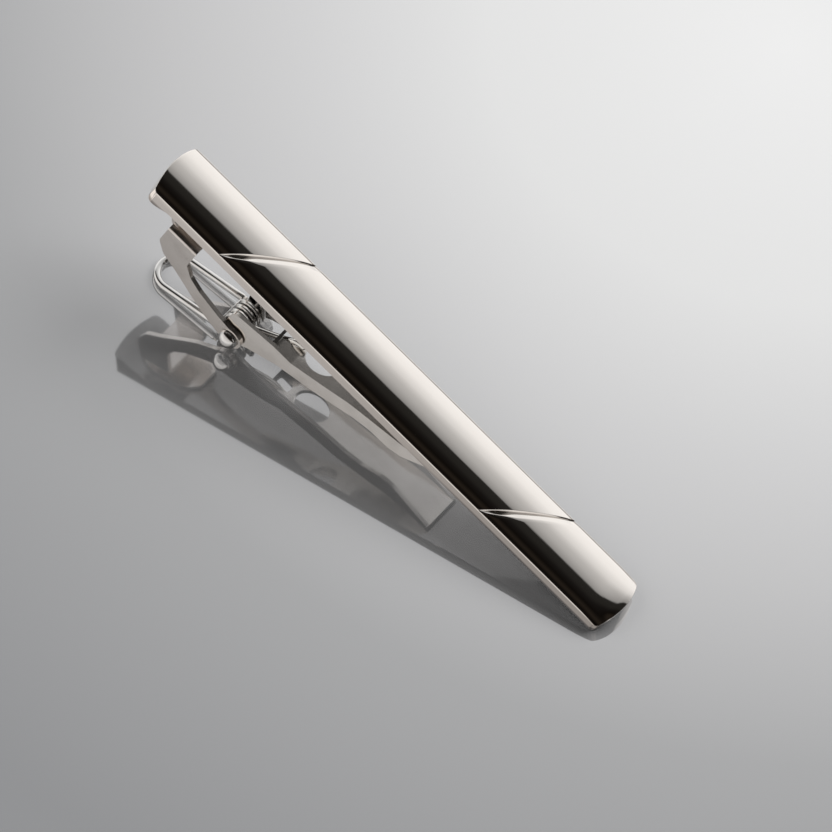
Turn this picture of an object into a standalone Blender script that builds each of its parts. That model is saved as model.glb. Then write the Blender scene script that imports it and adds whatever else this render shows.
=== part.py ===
"""Tie clip: a domed bar with a sprung clip under it, standing the way it rests on a table.

Everything is drawn in the bar's own frame, in millimetres turned to metres: x runs along the bar from its
left end, y across it (minus is the near side) and z up from the shoulder where the dome meets the side wall.
One empty then tips that frame over, until the handle loop and the bar's right end both touch the table.
"""

import math

import bmesh
import bpy
from mathutils import Matrix, Vector

MM = 0.001

# Bar
BAR_LENGTH = 56.8 * MM
BAR_WIDTH = 6.3 * MM
BAR_END_BULGE = 0.6 * MM
BAR_CORNER_RADIUS = 0.35 * MM
BAR_WALL_DEPTH = 1.42 * MM
BAR_SHOULDER = 0.12 * MM
CROWN_HEIGHT = 0.9 * MM
CROWN_POWER = 2.3
GROOVE_NEAR_X = (8.3 * MM, 41.6 * MM)
GROOVE_RUN = 7.1 * MM
GROOVE_LEFT_WALL = 0.10 * MM
GROOVE_RIGHT_WALL = 1.0 * MM
GROOVE_DEPTH = 0.36 * MM
END_DROOP = 0.7 * MM
END_DROOP_X = (0.6 * MM, 2.6 * MM)
RELIEF_DEPTH = 0.10 * MM
RELIEF_X = (3.0 * MM, 39.5 * MM)

# Bracket
SHEET = 0.45 * MM
FOOT_GAP = 0.06 * MM
FOOT_HALF_WIDTH = 2.2 * MM
FOOT_RIGHT_X = 9.0 * MM
STRAP_SHEET = 0.40 * MM
STRAP_BEND_X = 4.1 * MM
WEB_MIDDLE_Z = -3.9 * MM
CHEEK_OUTER_Y = 2.85 * MM
CHEEK_LEFT_X = 3.3 * MM
CHEEK_RIGHT_X = 6.8 * MM
CHEEK_BEND_RADIUS = 0.5 * MM
ARM_END_RADIUS = 1.3 * MM

# Pivot
PIVOT_X = 14.16 * MM
PIVOT_Z = -10.8 * MM
PIN_RADIUS = 0.5 * MM
PIN_HEAD_RADIUS = 1.0 * MM
PIN_HEAD_BASE_Y = 2.9 * MM
ARM_BORE_RADIUS = 0.53 * MM
JAW_BORE_RADIUS = 0.55 * MM

# Jaw
JAW_SHEET = 0.4 * MM
JAW_OUTER_Y = 2.2 * MM
JAW_WEB_START_X = 17.3 * MM
JAW_LOBE_RADIUS = 1.4 * MM

# Handle loop
LOOP_WIRE_RADIUS = 0.375 * MM
LOOP_HALF_WIDTH = 1.92 * MM
LOOP_SLOPE = math.radians(19.9)
LOOP_TIP_X = 4.735 * MM
LOOP_LINE_X = 12.3 * MM
LOOP_LINE_Z = -12.3 * MM
LOOP_LEG_END_X = 12.45 * MM
LOOP_PLATE_LEFT_X = 12.35 * MM
LOOP_PLATE_RIGHT_X = 12.85 * MM

# Spring
SPRING_X = 13.86 * MM
SPRING_WIRE_RADIUS = 0.3 * MM
SPRING_COIL_RADIUS = 1.15 * MM
SPRING_NEAR_Y = -1.45 * MM
SPRING_PITCH = 0.66 * MM
SPRING_TURNS = 3.75


# ---------------------------------------------------------------- scene and materials


def clear_scene():
    """Remove every object, mesh and material left in the file."""
    for thing in list(bpy.data.objects):
        bpy.data.objects.remove(thing, do_unlink=True)
    for mesh in list(bpy.data.meshes):
        bpy.data.meshes.remove(mesh)
    for material in list(bpy.data.materials):
        bpy.data.materials.remove(material)


def metal(name, colour, roughness):
    """Make a metal material."""
    material = bpy.data.materials.new(name)
    material.use_nodes = True
    shader = material.node_tree.nodes["Principled BSDF"]
    shader.inputs["Base Color"].default_value = (*colour, 1.0)
    shader.inputs["Roughness"].default_value = roughness
    shader.inputs["Metallic"].default_value = 1.0
    return material


def make_empty(name, location, parent=None):
    """Make an empty at a place in its parent's frame."""
    empty = bpy.data.objects.new(name, None)
    empty.location = location
    empty.parent = parent
    bpy.context.scene.collection.objects.link(empty)
    return empty


def mesh_object(name, points, faces, parent, shift=(0.0, 0.0, 0.0), material=None, smooth=None):
    """Make one closed mesh with outward faces. Points are in the bar's frame; shift moves them to the parent's."""
    mesh = bpy.data.meshes.new(name)
    offset = Vector(shift)
    mesh.from_pydata([Vector(p) - offset for p in points], [], faces)
    tool = bmesh.new()
    tool.from_mesh(mesh)
    bmesh.ops.remove_doubles(tool, verts=tool.verts, dist=1e-7)
    bmesh.ops.recalc_face_normals(tool, faces=tool.faces)
    tool.to_mesh(mesh)
    tool.free()
    thing = bpy.data.objects.new(name, mesh)
    thing.parent = parent
    if material is not None:
        mesh.materials.append(material)
    if smooth is not None:
        mesh.shade_smooth()
        mesh.set_sharp_from_angle(angle=smooth)
    bpy.context.scene.collection.objects.link(thing)
    return thing


def as_tool(thing):
    """Hide a helper solid, which only serves as a Boolean's other operand."""
    thing.hide_render = True
    thing.display_type = "WIRE"
    return thing


def combine(thing, operation, other):
    """Add a live exact Boolean."""
    step = thing.modifiers.new(operation.lower(), "BOOLEAN")
    step.operation = operation
    step.solver = "EXACT"
    step.object = as_tool(other)


# ---------------------------------------------------------------- outlines and solids


def arc(centre_x, centre_z, radius, start, stop, steps):
    """Points on an arc in the x, z plane, with angles in degrees counted from +x towards +z."""
    found = []
    for index in range(steps + 1):
        angle = math.radians(start + (stop - start) * index / steps)
        found.append((centre_x + radius * math.cos(angle), centre_z + radius * math.sin(angle)))
    return found


def rounded(corners, steps=5):
    """Replace each corner (x, z, radius) of a closed outline by an arc of that radius."""
    found = []
    count = len(corners)
    for index, (x, z, radius) in enumerate(corners):
        here = Vector((x, z))
        if radius <= 0.0:
            found.append((x, z))
            continue
        before = Vector(corners[index - 1][:2]) - here
        after = Vector(corners[(index + 1) % count][:2]) - here
        half = before.angle(after) / 2
        reach = min(radius / math.tan(half), 0.48 * before.length, 0.48 * after.length)
        first = here + before.normalized() * reach
        last = here + after.normalized() * reach
        for step in range(steps + 1):
            share = step / steps
            point = first.lerp(here, share).lerp(here.lerp(last, share), share)
            found.append((point.x, point.y))
    return found


def in_metres(corners):
    """Scale a list of number tuples from millimetres."""
    return [tuple(value * MM for value in corner) for corner in corners]


def prism_y(outline, near, far):
    """A closed prism whose x, z outline is carried along y."""
    count = len(outline)
    points = [(x, near, z) for x, z in outline] + [(x, far, z) for x, z in outline]
    faces = [tuple(range(count)), tuple(range(2 * count - 1, count - 1, -1))]
    for index in range(count):
        follow = (index + 1) % count
        faces.append((index, follow, count + follow, count + index))
    return points, faces


def prism_z(outline, low, high):
    """A closed prism whose x, y outline is carried along z."""
    count = len(outline)
    points = [(x, y, low) for x, y in outline] + [(x, y, high) for x, y in outline]
    faces = [tuple(range(count)), tuple(range(2 * count - 1, count - 1, -1))]
    for index in range(count):
        follow = (index + 1) % count
        faces.append((index, follow, count + follow, count + index))
    return points, faces


def prism_x(outline, left, right):
    """A closed prism whose y, z outline is carried along x."""
    count = len(outline)
    points = [(left, y, z) for y, z in outline] + [(right, y, z) for y, z in outline]
    faces = [tuple(range(count)), tuple(range(2 * count - 1, count - 1, -1))]
    for index in range(count):
        follow = (index + 1) % count
        faces.append((index, follow, count + follow, count + index))
    return points, faces


def stacked_rings(rings):
    """A closed body from equal rings in order, with a cap on the first and the last."""
    count = len(rings[0])
    points = [point for ring in rings for point in ring]
    faces = [tuple(range(count - 1, -1, -1))]
    for level in range(len(rings) - 1):
        start = level * count
        for index in range(count):
            follow = (index + 1) % count
            faces.append((start + index, start + follow, start + count + follow, start + count + index))
    last = (len(rings) - 1) * count
    faces.append(tuple(range(last, last + count)))
    return points, faces


def wire(path, radius, sides):
    """A round wire along a path of points, with its frame carried on from one point to the next."""
    points = [Vector(p) for p in path]
    count = len(points)
    rings = []
    side = None
    for index, point in enumerate(points):
        ahead = points[min(index + 1, count - 1)]
        behind = points[max(index - 1, 0)]
        along = (ahead - behind).normalized()
        if side is None:
            side = along.orthogonal()
        side = (side - along * side.dot(along)).normalized()
        other = along.cross(side)
        ring = []
        for step in range(sides):
            angle = 2 * math.pi * step / sides
            ring.append(tuple(point + (side * math.cos(angle) + other * math.sin(angle)) * radius))
        rings.append(ring)
    return stacked_rings(rings)


def turned_y(profile, sides):
    """A solid of revolution about the pivot's y axis from (radius, y) points that start and end on it."""
    points = []
    faces = []
    rows = []
    for radius, y in profile:
        if radius == 0.0:
            rows.append([len(points)])
            points.append((PIVOT_X, y, PIVOT_Z))
            continue
        row = []
        for step in range(sides):
            angle = 2 * math.pi * step / sides
            row.append(len(points))
            points.append((PIVOT_X + radius * math.cos(angle), y, PIVOT_Z + radius * math.sin(angle)))
        rows.append(row)
    for low, high in zip(rows, rows[1:]):
        for step in range(sides):
            follow = (step + 1) % sides
            if len(low) == 1:
                faces.append((low[0], high[step], high[follow]))
            elif len(high) == 1:
                faces.append((low[step], high[0], low[follow]))
            else:
                faces.append((low[step], high[step], high[follow], low[follow]))
    return points, faces


def offset_line(line, distance):
    """Move an open x, z polyline sideways, to the right of the way it runs when distance is positive."""
    found = []
    for index, point in enumerate(line):
        here = Vector(point)
        normals = []
        if index > 0:
            step = here - Vector(line[index - 1])
            normals.append(Vector((step.y, -step.x)).normalized())
        if index < len(line) - 1:
            step = Vector(line[index + 1]) - here
            normals.append(Vector((step.y, -step.x)).normalized())
        middle = sum(normals, Vector((0.0, 0.0))).normalized()
        reach = distance / middle.dot(normals[0])
        found.append(tuple(here + middle * reach))
    return found


# ---------------------------------------------------------------- bar


def crown(y):
    """Height of the dome above the shoulder."""
    share = min(1.0, abs(2 * y / BAR_WIDTH))
    return BAR_SHOULDER + (CROWN_HEIGHT - BAR_SHOULDER) * (1 - share**CROWN_POWER)


def end_inset(y):
    """How far the rounded, bulged end stands back from its outermost point."""
    half = BAR_WIDTH / 2
    inset = BAR_END_BULGE * (y / half) ** 2
    past = abs(y) - (half - BAR_CORNER_RADIUS)
    if past > 0:
        inset += BAR_CORNER_RADIUS - math.sqrt(max(BAR_CORNER_RADIUS**2 - past**2, 0.0))
    return inset


def groove_share(y):
    """Depth of the grooves at y as a share of the full depth: shallow at the near tip and on the far half."""
    from_near = (y + BAR_WIDTH / 2) / BAR_WIDTH
    return min(1.0, 0.05 + from_near / 0.15) * (1.0 - 0.75 * max(0.0, from_near - 0.15))


def underside(x):
    """Height of the bar's underside: level, but drooping at the left end."""
    share = min(1.0, max(0.0, (END_DROOP_X[1] - x) / (END_DROOP_X[1] - END_DROOP_X[0])))
    return -BAR_WALL_DEPTH - END_DROOP * share * share * (3 - 2 * share)


def bar_section():
    """The section's points as (y, z, moves with the grooves), from the near shoulder over to the far one."""
    steps = 18
    half = BAR_WIDTH / 2
    found = []
    for index in range(steps + 1):
        y = -half * math.cos(math.pi * index / steps)
        found.append((y, crown(y)))
    return found


def build_bar(parent, material):
    """The domed bar: one grid whose columns follow the two slanted grooves, relieved under its clip half."""
    section = bar_section()
    rows = len(section)
    left = -BAR_END_BULGE
    right = BAR_LENGTH + BAR_END_BULGE
    columns = []
    for share in (0.0, 0.06, 0.12, 0.18, 0.24, 0.3, 0.36, 0.5, 0.75):
        columns.append(("left", share))
    for index in range(2):
        columns.append(("edge", index, -GROOVE_LEFT_WALL, 0.0))
        columns.append(("edge", index, 0.0, 1.0))
        columns.append(("edge", index, GROOVE_RIGHT_WALL, 0.0))
        if index == 0:
            for share in (0.125, 0.25, 0.375, 0.5, 0.625, 0.75, 0.875):
                columns.append(("middle", share))
    for share in (0.25, 0.5, 0.75, 1.0):
        columns.append(("right", share))

    def groove_x(index, y, aside):
        taper = 0.35 + 0.65 * min(1.0, (y + BAR_WIDTH / 2) / (0.3 * BAR_WIDTH))
        return GROOVE_NEAR_X[index] + GROOVE_RUN * (y / BAR_WIDTH + 0.5) + aside * taper

    def column_place(column, y):
        inset = end_inset(y)
        if column[0] == "left":
            stop = groove_x(0, y, -GROOVE_LEFT_WALL)
            return left + inset + (stop - left - inset) * column[1], 0.0
        if column[0] == "edge":
            return groove_x(column[1], y, column[2]), column[3]
        if column[0] == "middle":
            start = groove_x(0, y, GROOVE_RIGHT_WALL)
            stop = groove_x(1, y, -GROOVE_LEFT_WALL)
            return start + (stop - start) * column[1], 0.0
        start = groove_x(1, y, GROOVE_RIGHT_WALL)
        return start + (right - inset - start) * column[1], 0.0

    points = []
    loops = []
    for column in columns:
        loop = []
        for y, z in section:
            x, deep = column_place(column, y)
            drop = GROOVE_DEPTH * groove_share(y) * deep
            loop.append(len(points))
            points.append((x, y, z - drop))
        for y, z in ((section[-1][0], -0.55 * BAR_WALL_DEPTH),):
            loop.append(len(points))
            points.append((column_place(column, y)[0], y, z))
        for y, _ in reversed(section):
            loop.append(len(points))
            x = column_place(column, y)[0]
            points.append((x, y, underside(x)))
        y = section[0][0]
        loop.append(len(points))
        points.append((column_place(column, y)[0], y, -0.55 * BAR_WALL_DEPTH))
        loops.append(loop)

    faces = []
    for first, second in zip(loops, loops[1:]):
        count = len(first)
        for index in range(count):
            follow = (index + 1) % count
            faces.append((first[index], second[index], second[follow], first[follow]))
    for loop in (loops[0], loops[-1]):
        top = loop[:rows]
        far_wall = loop[rows]
        bottom = list(reversed(loop[rows + 1 : 2 * rows + 1]))
        near_wall = loop[2 * rows + 1]
        for index in range(rows - 1):
            face = [top[index], top[index + 1]]
            if index == rows - 2:
                face.append(far_wall)
            face += [bottom[index + 1], bottom[index]]
            if index == 0:
                face.append(near_wall)
            faces.append(tuple(face))
    body = mesh_object("bar", points, faces, parent, material=material, smooth=math.radians(24))
    half = 5.0 * MM
    floor = -BAR_WALL_DEPTH + RELIEF_DEPTH
    left, right = RELIEF_X
    outline = [(left, -half), (right, -half), (right, half), (left, half)]
    relief = mesh_object("bar_relief", *prism_z(outline, -4.0 * MM, floor), parent)
    combine(body, "DIFFERENCE", relief)
    return body


# ---------------------------------------------------------------- bracket


def channel_outline():
    """The bracket's y, z section: a web with two cheeks hanging from it, and rounded bends."""
    top = WEB_MIDDLE_Z + SHEET / 2
    inner = CHEEK_OUTER_Y - SHEET
    low = -13.0 * MM
    outer = [
        (-CHEEK_OUTER_Y, low, 0.0),
        (-CHEEK_OUTER_Y, top, CHEEK_BEND_RADIUS),
        (CHEEK_OUTER_Y, top, CHEEK_BEND_RADIUS),
        (CHEEK_OUTER_Y, low, 0.0),
        (inner, low, 0.0),
        (inner, top - SHEET, 0.15 * MM),
        (-inner, top - SHEET, 0.15 * MM),
        (-inner, low, 0.0),
    ]
    return rounded(outer)


def bracket_outline():
    """The bracket's side view, web, cheek and narrowing arm in one."""
    top = WEB_MIDDLE_Z + SHEET / 2 + 0.3 * MM
    upper = [
        (CHEEK_LEFT_X, top, 0.0),
        (CHEEK_RIGHT_X, top, 0.0),
        (CHEEK_RIGHT_X, -6.5 * MM, 0.7 * MM),
    ]
    upper += in_metres([(7.8, -7.75, 0.6), (9.3, -8.55, 0.6), (12.2, -9.35, 0.8)])
    lower = in_metres([(12.3, -11.5, 0.6), (10.7, -11.0, 0.8), (9.25, -10.3, 0.8), (6.4, -8.85, 0.9), (4.4, -8.0, 1.2)])
    lower.append((CHEEK_LEFT_X, -6.6 * MM, 1.0 * MM))
    path = rounded(upper + [(13.2 * MM, -9.35 * MM, 0.0)] + [(13.1 * MM, -11.75 * MM, 0.0)] + lower)
    split = path.index((13.1 * MM, -11.75 * MM))
    tip = arc(PIVOT_X, PIVOT_Z, ARM_END_RADIUS, 112.0, -130.0, 20)
    return path[: split - 1] + tip + path[split + 1 :]


def strap_solid():
    """The foot under the bar and the U bend that brings it round to the web."""
    foot_z = -BAR_WALL_DEPTH - FOOT_GAP - STRAP_SHEET / 2
    bend = (foot_z - WEB_MIDDLE_Z) / 2
    middle = (foot_z + WEB_MIDDLE_Z) / 2
    line = [(FOOT_RIGHT_X, foot_z), (FOOT_RIGHT_X - 0.9 * MM, foot_z), (FOOT_RIGHT_X - 1.8 * MM, foot_z)]
    line += arc(STRAP_BEND_X, middle, bend, 90.0, 270.0, 16)
    line.append((CHEEK_LEFT_X + 1.4 * MM, WEB_MIDDLE_Z))
    rings = []
    for index, (x, z) in enumerate(line):
        ahead = Vector(line[min(index + 1, len(line) - 1)])
        behind = Vector(line[max(index - 1, 0)])
        along = (ahead - behind).normalized()
        normal = Vector((along.y, -along.x)) * STRAP_SHEET / 2
        half = FOOT_HALF_WIDTH
        if index == 0:
            half *= 0.5
        elif index == 1:
            half *= 0.9
        rings.append(
            [
                (x + normal.x, -half, z + normal.y),
                (x + normal.x, half, z + normal.y),
                (x - normal.x, half, z - normal.y),
                (x - normal.x, -half, z - normal.y),
            ]
        )
    return stacked_rings(rings)


def build_bracket(parent, material):
    """The bent sheet that carries the clip: foot, U bend, web, cheeks and arms."""
    body = mesh_object("clip_bracket", *prism_x(channel_outline(), 2.9 * MM, 16.5 * MM), parent, material=material)
    side = mesh_object("bracket_side_view", *prism_y(bracket_outline(), -4.0 * MM, 4.0 * MM), parent)
    strap = mesh_object("bracket_strap", *strap_solid(), parent)
    profile = [(0.0, -4.0 * MM), (ARM_BORE_RADIUS, -4.0 * MM), (ARM_BORE_RADIUS, 4.0 * MM), (0.0, 4.0 * MM)]
    bore = mesh_object("bracket_bore", *turned_y(profile, 40), parent)
    combine(body, "INTERSECT", side)
    combine(body, "UNION", strap)
    combine(body, "DIFFERENCE", bore)
    return body


# ---------------------------------------------------------------- pivot pin


def build_pin(parent, material):
    """The pin: a straight shaft with a domed head outside each arm."""
    profile = []
    steps = 8
    for index in range(steps + 1):
        angle = math.pi / 2 * index / steps
        radius = 0.0 if index == 0 else PIN_HEAD_RADIUS * math.sin(angle)
        profile.append((radius, -PIN_HEAD_BASE_Y - PIN_HEAD_RADIUS * math.cos(angle)))
    profile += [(PIN_RADIUS, -PIN_HEAD_BASE_Y), (PIN_RADIUS, PIN_HEAD_BASE_Y)]
    profile += [(radius, -y) for radius, y in reversed(profile[: steps + 1])]
    return mesh_object("pivot_pin", *turned_y(profile, 32), parent, material=material, smooth=math.radians(40))


# ---------------------------------------------------------------- jaw

JAW_TOP = in_metres(
    [(17.7, -7.1), (19.9, -7.1), (23.2, -5.9), (26.5, -4.6), (29.9, -3.8), (33.0, -3.1), (35.0, -2.2), (36.6, -1.36)]
)
JAW_BOTTOM = in_metres(
    [
        (36.95, -1.66, 0.1),
        (35.0, -3.4, 0.6),
        (33.1, -5.0, 0.9),
        (31.7, -5.5, 0.8),
        (29.4, -5.6, 0.8),
        (27.5, -6.1, 0.8),
        (23.7, -7.75, 0.8),
        (18.9, -9.4, 0.8),
        (15.9, -11.1, 0.5),
    ]
)


def jaw_outline():
    """The jaw's side view: lobe at the pin, flange, and a nose that rises to the bar."""
    rear = in_metres([(12.95, -12.05, 0.15), (12.76, -10.8, 0.4), (12.85, -8.0, 0.5), (13.6, -7.7, 0.4)])
    top = [(x, z, 0.5 * MM) for x, z in JAW_TOP[:-1]] + [(*JAW_TOP[-1], 0.05 * MM)]
    lobe = [(x, z, 0.0) for x, z in arc(PIVOT_X, PIVOT_Z, JAW_LOBE_RADIUS, -40.0, -95.0, 7)]
    return rounded(rear + top + JAW_BOTTOM + lobe + [(13.3 * MM, -12.25 * MM, 0.15 * MM)])


def jaw_hollow():
    """The side view of the room between the flanges, open above behind the web."""
    under = offset_line(JAW_TOP, JAW_SHEET)
    under = [(x, z) for x, z in under if x > JAW_WEB_START_X + 0.6 * MM]
    line = [(11.0 * MM, -4.0 * MM), (JAW_WEB_START_X, -4.0 * MM), (JAW_WEB_START_X, JAW_TOP[0][1] - JAW_SHEET)]
    line += under
    line += [(38.0 * MM, under[-1][1] - 0.1 * MM), (38.0 * MM, -14.0 * MM), (11.0 * MM, -14.0 * MM)]
    return line


def build_jaw(parent, shift, material):
    """The jaw: a bent sheet channel with its web towards the bar, two openings and a bored lobe each side."""
    outer = prism_y(jaw_outline(), -JAW_OUTER_Y, JAW_OUTER_Y)
    body = mesh_object("jaw", *outer, parent, shift, material=material)
    inner_y = JAW_OUTER_Y - JAW_SHEET
    room = mesh_object("jaw_room", *prism_y(jaw_hollow(), -inner_y, inner_y), parent, shift)
    notch = rounded(
        [
            (17.6 * MM, -0.95 * MM, 0.3 * MM),
            (19.5 * MM, -0.42 * MM, 0.3 * MM),
            (19.5 * MM, 0.42 * MM, 0.3 * MM),
            (17.6 * MM, 0.95 * MM, 0.3 * MM),
        ]
    )
    leg_hole = mesh_object("jaw_leg_hole", *prism_z(notch, -8.4 * MM, -4.0 * MM), parent, shift)
    oval = []
    for index in range(32):
        angle = 2 * math.pi * index / 32
        oval.append((21.95 * MM + 1.75 * MM * math.cos(angle), 1.45 * MM * math.sin(angle)))
    window = mesh_object("jaw_window", *prism_z(oval, -9.4 * MM, -4.0 * MM), parent, shift)
    profile = [(0.0, -4.0 * MM), (JAW_BORE_RADIUS, -4.0 * MM), (JAW_BORE_RADIUS, 4.0 * MM), (0.0, 4.0 * MM)]
    bore = mesh_object("jaw_bore", *turned_y(profile, 40), parent, shift)
    combine(body, "DIFFERENCE", room)
    combine(body, "DIFFERENCE", leg_hole)
    combine(body, "DIFFERENCE", window)
    combine(body, "DIFFERENCE", bore)
    return body


# ---------------------------------------------------------------- handle loop


def loop_point(x, y, lift=0.0):
    """A point of the loop's plane, which slopes up to the right, lifted square to it."""
    z = LOOP_LINE_Z + (x - LOOP_LINE_X) * math.tan(LOOP_SLOPE)
    return (x - lift * math.sin(LOOP_SLOPE), y, z + lift * math.cos(LOOP_SLOPE))


def build_loop(parent, shift, material):
    """The handle: a wire bent to a U, closed by a small plate at the jaw."""
    run = LOOP_HALF_WIDTH * math.cos(LOOP_SLOPE)
    centre_x = LOOP_TIP_X + run
    path = [loop_point(LOOP_LEG_END_X, -LOOP_HALF_WIDTH), loop_point(9.0 * MM, -LOOP_HALF_WIDTH)]
    steps = 24
    for index in range(steps + 1):
        angle = math.pi * index / steps
        path.append(loop_point(centre_x - run * math.sin(angle), -LOOP_HALF_WIDTH * math.cos(angle)))
    path += [loop_point(9.0 * MM, LOOP_HALF_WIDTH), loop_point(LOOP_LEG_END_X, LOOP_HALF_WIDTH)]
    body = mesh_object("handle_loop", *wire(path, LOOP_WIRE_RADIUS, 20), parent, shift, material=material)
    half = 2.16 * MM
    lift = 0.2 * MM
    points = []
    for x in (LOOP_PLATE_LEFT_X, LOOP_PLATE_RIGHT_X):
        points += [loop_point(x, -half, -lift), loop_point(x, half, -lift), loop_point(x, half, lift)]
        points.append(loop_point(x, -half, lift))
    faces = [(0, 1, 2, 3), (7, 6, 5, 4), (0, 4, 5, 1), (1, 5, 6, 2), (2, 6, 7, 3), (3, 7, 4, 0)]
    plate = mesh_object("loop_plate", points, faces, parent, shift)
    combine(body, "UNION", plate)
    return body


# ---------------------------------------------------------------- spring


def build_spring(parent, shift, material):
    """The torsion spring: a coil round the pin, a leg hooked through the jaw and a short leg behind."""
    start = 113.7
    steps = 88
    coil = []
    for index in range(steps + 1):
        share = index / steps
        angle = math.radians(start + 360.0 * SPRING_TURNS * share)
        y = SPRING_NEAR_Y + SPRING_PITCH * SPRING_TURNS * share
        x = SPRING_X + SPRING_COIL_RADIUS * math.cos(angle)
        z = PIVOT_Z + SPRING_COIL_RADIUS * math.sin(angle)
        coil.append(Vector((x, y, z)))
    hook = [(19.75, -0.32, -6.62), (19.3, -0.32, -6.66), (19.0, -0.34, -6.76), (18.75, -0.35, -6.95)]
    hook += [(18.45, -0.38, -7.3), (18.15, -0.42, -7.62), (17.85, -0.48, -7.88), (17.4, -0.6, -8.12)]
    hook += [(16.0, -0.98, -8.73), (14.9, -1.28, -9.22)]
    path = [Vector(p) * MM for p in hook] + coil
    end = coil[-1]
    tangent = (coil[-1] - coil[-2]).normalized()
    tangent.y = 0.0
    path += [end + tangent * 0.9 * MM, end + tangent * 2.6 * MM]
    points, faces = wire(path, SPRING_WIRE_RADIUS, 12)
    return mesh_object("spring", points, faces, parent, shift, material=material, smooth=math.radians(50))


# ---------------------------------------------------------------- placing


def rest_angle():
    """How far the bar tips over: the line under both the loop's tip and the bar's right lower edge."""
    tip = Vector((LOOP_TIP_X, loop_point(LOOP_TIP_X, 0.0)[2]))
    corner = Vector((BAR_LENGTH + BAR_END_BULGE, -BAR_WALL_DEPTH))
    gap = corner - tip
    return math.atan2(gap.y, gap.x) + math.asin(LOOP_WIRE_RADIUS / gap.length)


def stand_on_table(stand, pieces):
    """Tip the frame over, then bring the middle of its lowest side to the origin."""
    stand.rotation_euler = (0.0, rest_angle(), 0.0)
    bpy.context.view_layer.update()
    graph = bpy.context.evaluated_depsgraph_get()
    low = Vector((1.0, 1.0, 1.0))
    high = -low
    for piece in pieces:
        ready = piece.evaluated_get(graph)
        mesh = ready.to_mesh()
        for vertex in mesh.vertices:
            place = ready.matrix_world @ vertex.co
            low = Vector(map(min, low, place))
            high = Vector(map(max, high, place))
        ready.to_mesh_clear()
    stand.location = (-(low.x + high.x) / 2, -(low.y + high.y) / 2, -low.z)
    bpy.context.view_layer.update()


def smooth_later(piece, degrees):
    """Smooth the faces of a piece that Booleans finish, sharp past an angle."""
    piece.data.shade_smooth()
    piece.data.set_sharp_from_angle(angle=math.radians(degrees))


def main():
    """Build the tie clip."""
    clear_scene()
    stand = make_empty("stand", (0.0, 0.0, 0.0))
    pivot = (PIVOT_X, 0.0, PIVOT_Z)
    hinge = make_empty("lever_hinge", pivot, stand)
    bar_metal = metal("bar_polished", (0.90, 0.885, 0.87), 0.06)
    bracket_metal = metal("bracket_nickel", (0.78, 0.77, 0.74), 0.14)
    pin_metal = metal("pin_nickel", (0.80, 0.79, 0.76), 0.12)
    jaw_metal = metal("jaw_nickel", (0.77, 0.76, 0.73), 0.15)
    loop_metal = metal("loop_nickel", (0.80, 0.79, 0.77), 0.10)
    spring_metal = metal("spring_steel", (0.62, 0.61, 0.59), 0.25)
    pieces = [
        build_bar(stand, bar_metal),
        build_bracket(stand, bracket_metal),
        build_pin(stand, pin_metal),
        build_jaw(hinge, pivot, jaw_metal),
        build_loop(hinge, pivot, loop_metal),
        build_spring(hinge, pivot, spring_metal),
    ]
    for piece in pieces[1:5]:
        smooth_later(piece, 35)
    stand_on_table(stand, pieces)


main()
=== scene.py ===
"""A slim tie clip: a domed, mirror-polished bar with a sprung jaw pinned under it, on a pale table."""

from __future__ import annotations

import logging
import math
from dataclasses import dataclass
from dataclasses import field
from enum import Enum
from typing import Any

import bmesh
import bpy
import numpy as np
from mathutils import Matrix
from mathutils import Vector


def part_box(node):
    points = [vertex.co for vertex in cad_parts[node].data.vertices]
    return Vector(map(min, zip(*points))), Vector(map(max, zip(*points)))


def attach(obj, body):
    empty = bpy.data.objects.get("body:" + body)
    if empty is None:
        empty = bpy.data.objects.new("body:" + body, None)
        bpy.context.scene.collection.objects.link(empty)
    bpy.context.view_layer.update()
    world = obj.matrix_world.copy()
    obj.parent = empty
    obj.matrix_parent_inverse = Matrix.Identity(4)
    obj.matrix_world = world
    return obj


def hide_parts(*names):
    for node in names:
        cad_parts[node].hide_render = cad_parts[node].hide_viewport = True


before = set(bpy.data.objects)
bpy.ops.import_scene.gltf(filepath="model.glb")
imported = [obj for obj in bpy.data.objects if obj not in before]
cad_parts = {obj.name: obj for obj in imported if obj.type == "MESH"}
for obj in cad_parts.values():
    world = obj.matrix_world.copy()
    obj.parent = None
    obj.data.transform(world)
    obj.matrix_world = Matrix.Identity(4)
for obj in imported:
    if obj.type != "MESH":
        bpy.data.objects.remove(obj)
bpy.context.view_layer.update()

LOG = logging.getLogger("tie_clip")
MM = 0.001
Colour = tuple[float, float, float]


class Body(Enum):
    """The two rigid bodies of the clip."""

    FRAME = "clip_frame"
    LEVER = "lever"


class Stroke(Enum):
    """The kind of fine marks that making and wearing leave on a metal surface."""

    MIRROR = "mirror"
    PRESSED = "pressed"
    DRAWN = "drawn"


# ---------------------------------------------------------------- node maths


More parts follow.
